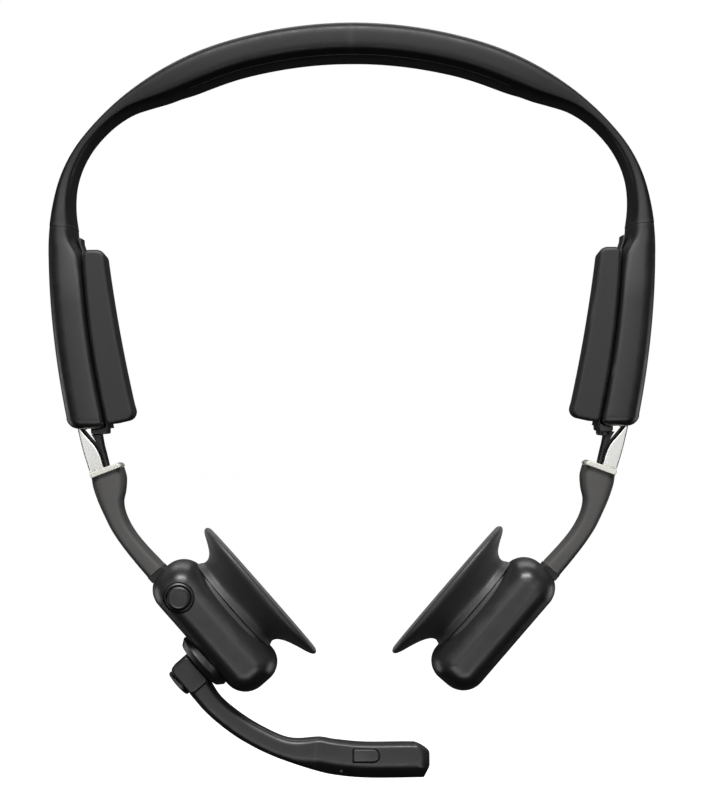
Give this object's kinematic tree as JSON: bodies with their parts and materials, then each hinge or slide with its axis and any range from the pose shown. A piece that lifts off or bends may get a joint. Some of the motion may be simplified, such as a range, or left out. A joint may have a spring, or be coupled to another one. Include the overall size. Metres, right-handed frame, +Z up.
{
  "type": "bone conduction headphones",
  "caption": "Headband with sliding, sprung arms that press bone conduction pods to the cheekbones, with a turning microphone boom.",
  "frame": {"origin": "underside of the crown pad at the middle of the headband, where the head carries it", "axes": "+Z up, +X the viewer's right when seen from the wearer's front, -Y the wearer's front"},
  "size_m": [0.1634, 0.0278, 0.2033],
  "materials": {
    "silicone": "soft-touch matte silicone",
    "pad_silicone": "matte silicone over foam",
    "plastic": "fine-textured moulded plastic",
    "satin_plastic": "satin painted plastic",
    "arm_rubber": "matte elastomer over a metal core",
    "polished_steel": "mirror polished",
    "satin_metal": "satin",
    "spring_steel": "bright rolled strip",
    "board": "solder mask",
    "copper_cable": "polyimide film",
    "cell_wrap": "printed film",
    "ear_silicone": "matte silicone"
  },
  "bodies": {
    "crown": {"crown_band": "silicone", "crown_pad": "pad_silicone", "crown_spring": "spring_steel", "band_cable": "copper_cable"},
    "left_temple": {"left_band_side": "silicone", "left_housing": "plastic", "left_pad_frame": "plastic", "left_temple_pad": "pad_silicone", "left_slider_guide": "plastic", "left_battery": "cell_wrap", "usb_receptacle": "satin_metal"},
    "left_slider": {"left_slider_blade": "polished_steel", "left_slider_cable": "copper_cable", "left_cable_guard": "plastic", "left_slider_collar": "satin_metal", "left_arm_upper": "arm_rubber"},
    "left_arm": {"left_arm_lower": "arm_rubber", "left_arm_gasket": "silicone", "left_pod_shell": "satin_plastic", "left_pod_plate": "plastic", "left_contact_plate": "spring_steel", "left_transducer": "satin_metal", "left_ear_pad": "ear_silicone", "main_button_bezel": "plastic", "main_button_switch": "satin_metal", "boom_base_plate": "plastic", "boom_pin": "spring_steel"},
    "right_temple": {"right_band_side": "silicone", "right_housing": "plastic", "right_pad_frame": "plastic", "right_temple_pad": "pad_silicone", "right_slider_guide": "plastic", "right_main_board": "board", "right_radio_module": "satin_metal", "volume_button_plate": "plastic"},
    "right_slider": {"right_slider_blade": "polished_steel", "right_slider_cable": "copper_cable", "right_cable_guard": "plastic", "right_slider_collar": "satin_metal", "right_arm_upper": "arm_rubber"},
    "right_arm": {"right_arm_lower": "arm_rubber", "right_arm_gasket": "silicone", "right_pod_shell": "satin_plastic", "right_pod_plate": "plastic", "right_contact_plate": "spring_steel", "right_transducer": "satin_metal", "right_ear_pad": "ear_silicone"},
    "main_button": {"main_button": "plastic"},
    "volume_up_button": {"volume_up_button": "plastic"},
    "volume_down_button": {"volume_down_button": "plastic"},
    "boom": {"boom_hub": "plastic", "boom_hub_cap": "plastic", "boom_stem": "plastic", "boom_tip": "plastic", "mute_switch": "satin_metal", "microphone": "satin_metal"},
    "mute_button": {"mute_button": "plastic"}
  },
  "joints": [
    {"name": "left_band_flex", "type": "hinge", "parent": "crown", "child": "left_temple", "pos_m": [-0.0636, 0, -0.0142], "axis": [0, 1, 0], "range_deg": [0, 10], "stiffness_Nm_per_rad": 0.6, "springref_deg": -5.73},
    {"name": "left_slide", "type": "slide", "parent": "left_temple", "child": "left_slider", "axis": [0.1771, 0, -0.9842], "range_m": [0, 0.018]},
    {"name": "left_arm_flex", "type": "hinge", "parent": "left_slider", "child": "left_arm", "pos_m": [-0.065, 0, -0.1224], "axis": [0, 1, 0], "range_deg": [0, 38], "stiffness_Nm_per_rad": 0.08, "springref_deg": -17.19},
    {"name": "right_band_flex", "type": "hinge", "parent": "crown", "child": "right_temple", "pos_m": [0.0636, 0, -0.0142], "axis": [0, -1, 0], "range_deg": [0, 10], "stiffness_Nm_per_rad": 0.6, "springref_deg": -5.73},
    {"name": "right_slide", "type": "slide", "parent": "right_temple", "child": "right_slider", "axis": [-0.1771, 0, -0.9842], "range_m": [0, 0.018]},
    {"name": "right_arm_flex", "type": "hinge", "parent": "right_slider", "child": "right_arm", "pos_m": [0.065, 0, -0.1224], "axis": [0, -1, 0], "range_deg": [0, 38], "stiffness_Nm_per_rad": 0.08, "springref_deg": -17.19},
    {"name": "boom_turn", "type": "hinge", "parent": "left_arm", "child": "boom", "pos_m": [-0.04331, 0, -0.16485], "axis": [0.7547, 0, 0.6561], "range_deg": [-135, 135]},
    {"name": "main_button_press", "type": "slide", "parent": "left_arm", "child": "main_button", "axis": [0, 1, 0], "range_m": [0, 0.0005], "stiffness_N_per_m": 400, "springref_m": -0.001},
    {"name": "mute_button_press", "type": "slide", "parent": "boom", "child": "mute_button", "axis": [0, 1, 0], "range_m": [0, 0.0004], "stiffness_N_per_m": 400, "springref_m": -0.001},
    {"name": "volume_up_button_press", "type": "slide", "parent": "right_temple", "child": "volume_up_button", "axis": [0, 0, 1], "range_m": [0, 0.0004], "stiffness_N_per_m": 400, "springref_m": -0.001},
    {"name": "volume_down_button_press", "type": "slide", "parent": "right_temple", "child": "volume_down_button", "axis": [0, 0, 1], "range_m": [0, 0.0004], "stiffness_N_per_m": 400, "springref_m": -0.001}
  ]
}
